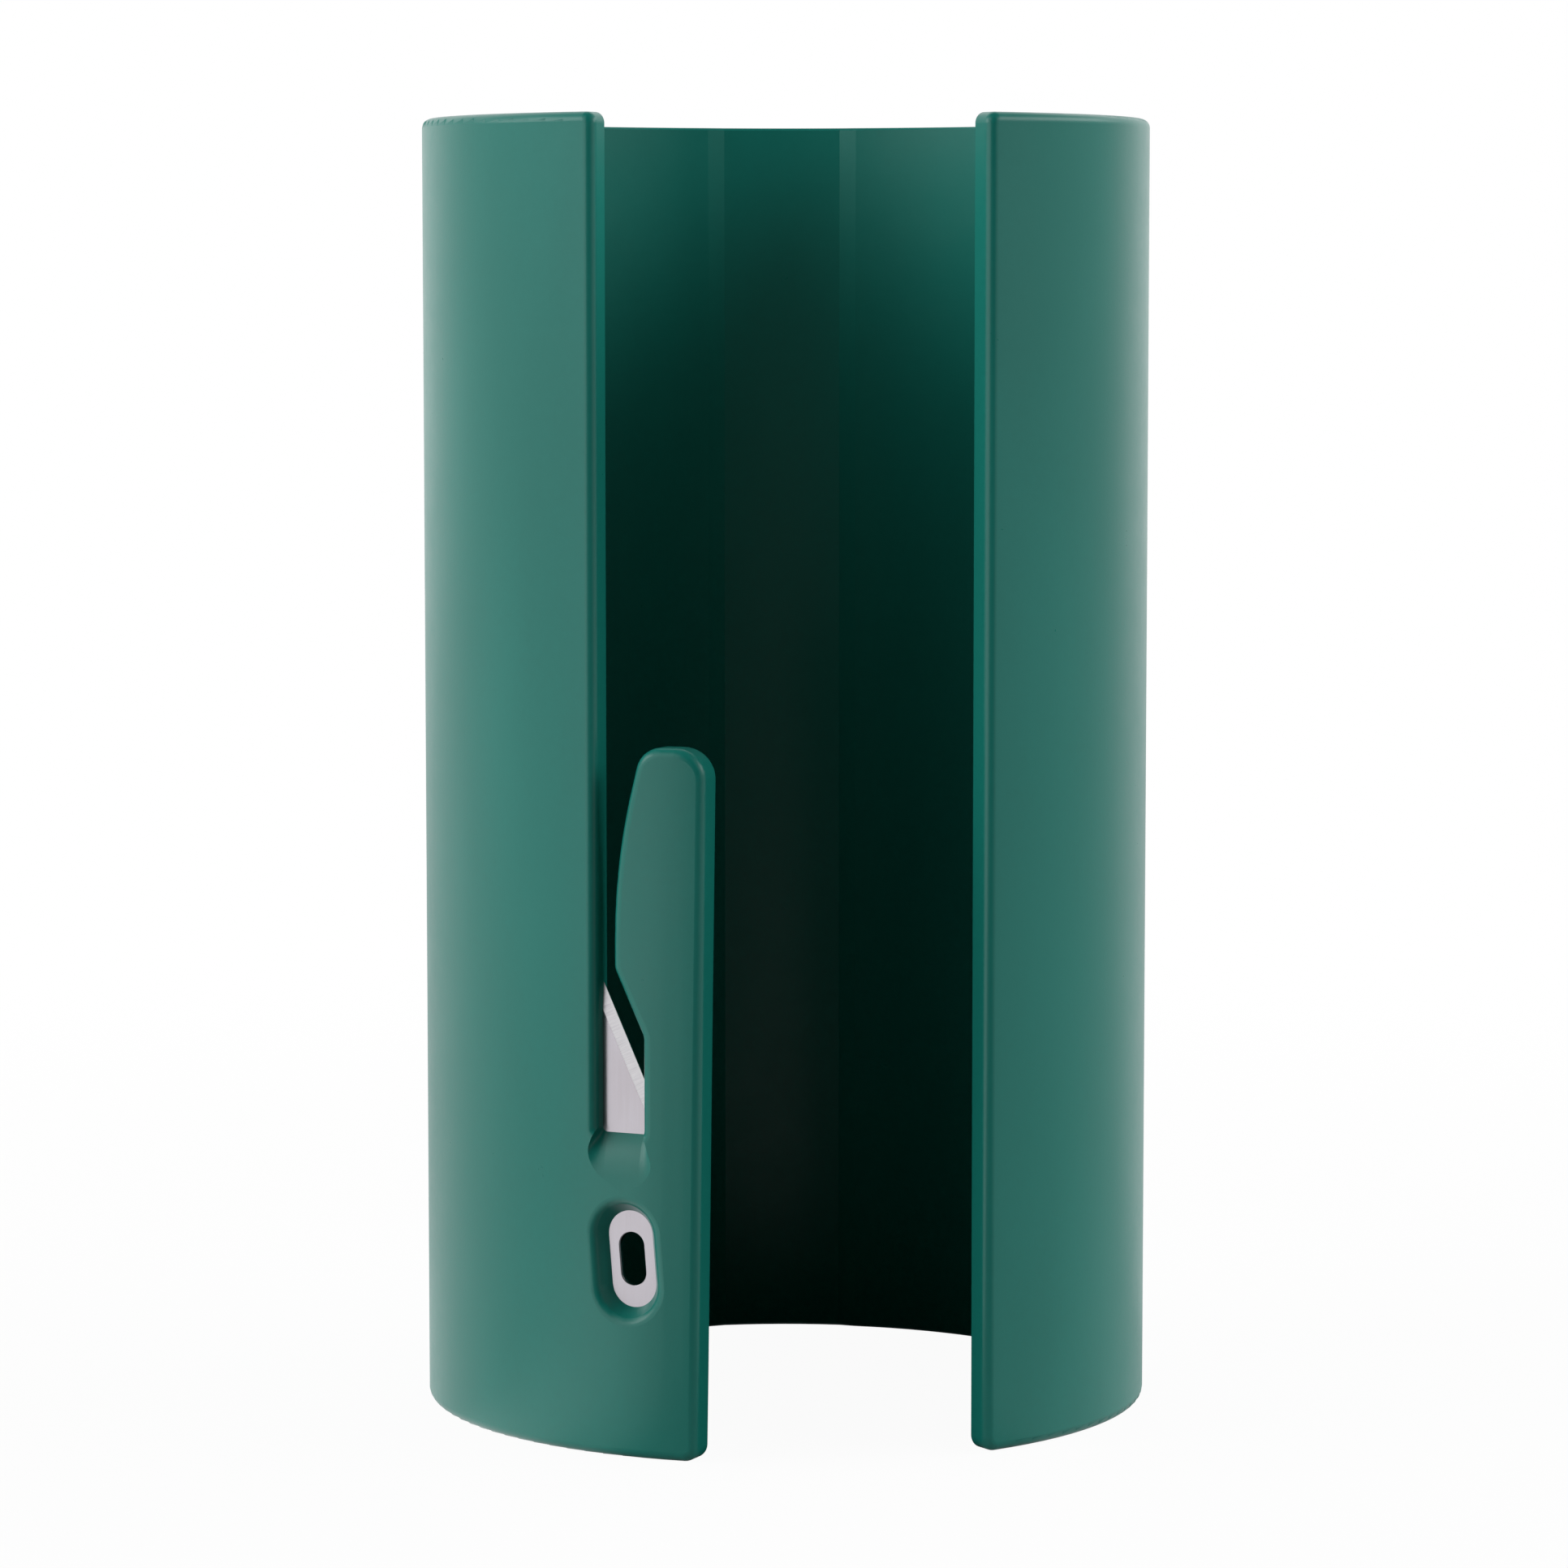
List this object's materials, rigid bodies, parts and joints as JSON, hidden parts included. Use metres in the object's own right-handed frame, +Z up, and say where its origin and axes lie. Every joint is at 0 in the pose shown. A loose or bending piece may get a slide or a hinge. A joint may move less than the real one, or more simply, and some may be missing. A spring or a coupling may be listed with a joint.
{
  "type": "gift wrap paper cutter",
  "caption": "Springy open-sided sleeve that slips over a roll of gift wrap, with a guide tongue and a steel blade moulded in beside a narrow slit.",
  "frame": {"origin": "on the axis of the sleeve's bore, level with its foot", "axes": "+Z up along the bore, from the foot to the head; -Y out through the middle of the mouth; +X to the right of someone who faces the mouth, with the tongue and blade on the -X side"},
  "size_m": [0.068, 0.067, 0.1205],
  "materials": {
    "green_plastic": "satin moulded plastic, fine grain",
    "blade_steel": "ground and lapped"
  },
  "bodies": {
    "root": {"sleeve": "green_plastic", "blade": "blade_steel"}
  },
  "joints": []
}
